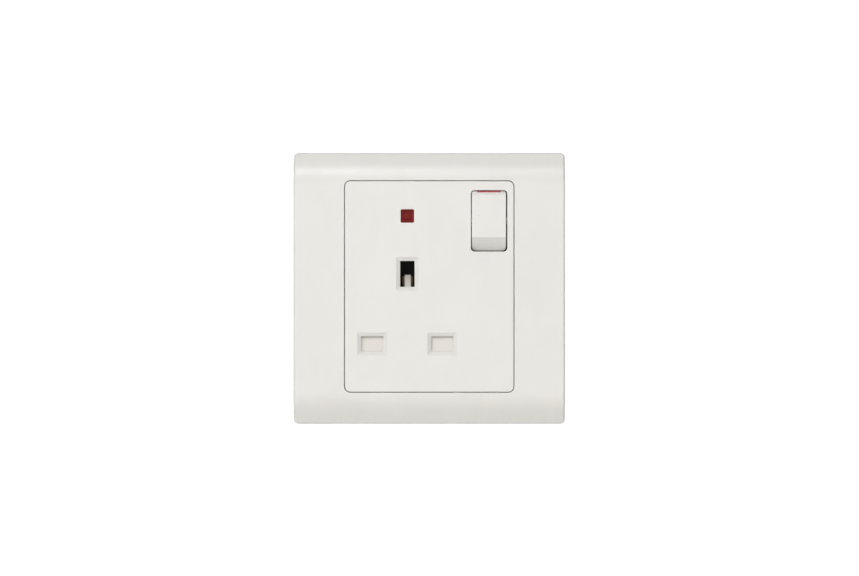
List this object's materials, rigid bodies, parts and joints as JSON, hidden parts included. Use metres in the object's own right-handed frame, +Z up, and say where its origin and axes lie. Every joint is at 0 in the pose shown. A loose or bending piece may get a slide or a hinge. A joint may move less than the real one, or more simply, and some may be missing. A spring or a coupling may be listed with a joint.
{
  "type": "switched socket",
  "caption": "Wall-mounted square power outlet with three shuttered pin holes, a rocker switch, a small red indicator lamp and a clip-on outer frame.",
  "frame": {"origin": "on the wall plane, midway between the two fixing screws and in the middle of the plate", "axes": "+X to the right as seen from the room, +Y back into the wall along the fixing screws, +Z up"},
  "size_m": [0.086, 0.0315, 0.086],
  "materials": {
    "surround_plastic": "satin urea moulding",
    "face_plastic": "satin urea moulding",
    "rocker_plastic": "satin, with a red stripe on its upper edge",
    "shutter_plastic": "fine matt moulding",
    "plunger_plastic": "natural acetal",
    "base_phenolic": "dark phenolic moulding",
    "lens_red": "tinted polycarbonate",
    "lamp_glass": "clear glass",
    "brass_strip": "rolled strip",
    "brass_block": "turned and sawn",
    "brass_screw": "turned",
    "plated_screw": "zinc plated",
    "spring_steel": "drawn wire",
    "contact_silver": "silver alloy",
    "resistor_body": "lacquered",
    "sleeve": "silicone sleeve"
  },
  "bodies": {
    "housing": {"surround": "surround_plastic", "front_plate": "face_plastic", "rear_base": "base_phenolic", "shutter_spring": "spring_steel", "fixed_contact_tip": "contact_silver", "line_feed_strip": "brass_strip", "line_contact": "brass_strip", "neutral_contact": "brass_strip", "earth_contact": "brass_strip", "line_terminal": "brass_block", "neutral_terminal": "brass_block", "earth_terminal": "brass_block", "earth_strap": "brass_strip", "neon_lens": "lens_red", "neon_lamp": "lamp_glass", "neon_electrodes": "spring_steel", "neon_resistor": "resistor_body", "neon_lead_upper": "sleeve", "neon_lead_neutral": "sleeve", "neon_lead_line": "sleeve", "terminal_screws": "brass_screw", "assembly_screws": "plated_screw", "fixing_screws": "plated_screw"},
    "rocker": {"rocker": "rocker_plastic", "plunger_spring": "spring_steel"},
    "plunger": {"plunger": "plunger_plastic"},
    "blade": {"moving_contact": "brass_strip", "moving_contact_tip": "contact_silver"},
    "shutter": {"shutter": "shutter_plastic"}
  },
  "joints": [
    {"name": "rocker_hinge", "type": "hinge", "parent": "housing", "child": "rocker", "pos_m": [0.01888, -0.0058, 0.02153], "axis": [1, 0, 0], "range_deg": [-14, 0]},
    {"name": "blade_hinge", "type": "hinge", "parent": "housing", "child": "blade", "pos_m": [0.01888, 0.0072, 0.02153], "axis": [1, 0, 0], "range_deg": [0, 24.1]},
    {"name": "plunger_slide", "type": "slide", "parent": "rocker", "child": "plunger", "axis": [0, -0.9925, -0.1219], "range_m": [0, 0.001], "stiffness_N_per_m": 800, "deforming": ["plunger_spring"]},
    {"name": "shutter_slide", "type": "slide", "parent": "housing", "child": "shutter", "axis": [0, 0, -1], "range_m": [0, 0.0053], "stiffness_N_per_m": 150, "springref_m": -0.002, "deforming": ["shutter_spring"]}
  ],
  "couplings": [
    {"joint": "blade_hinge", "follows": "rocker_hinge", "ratio": -1.7143}
  ]
}
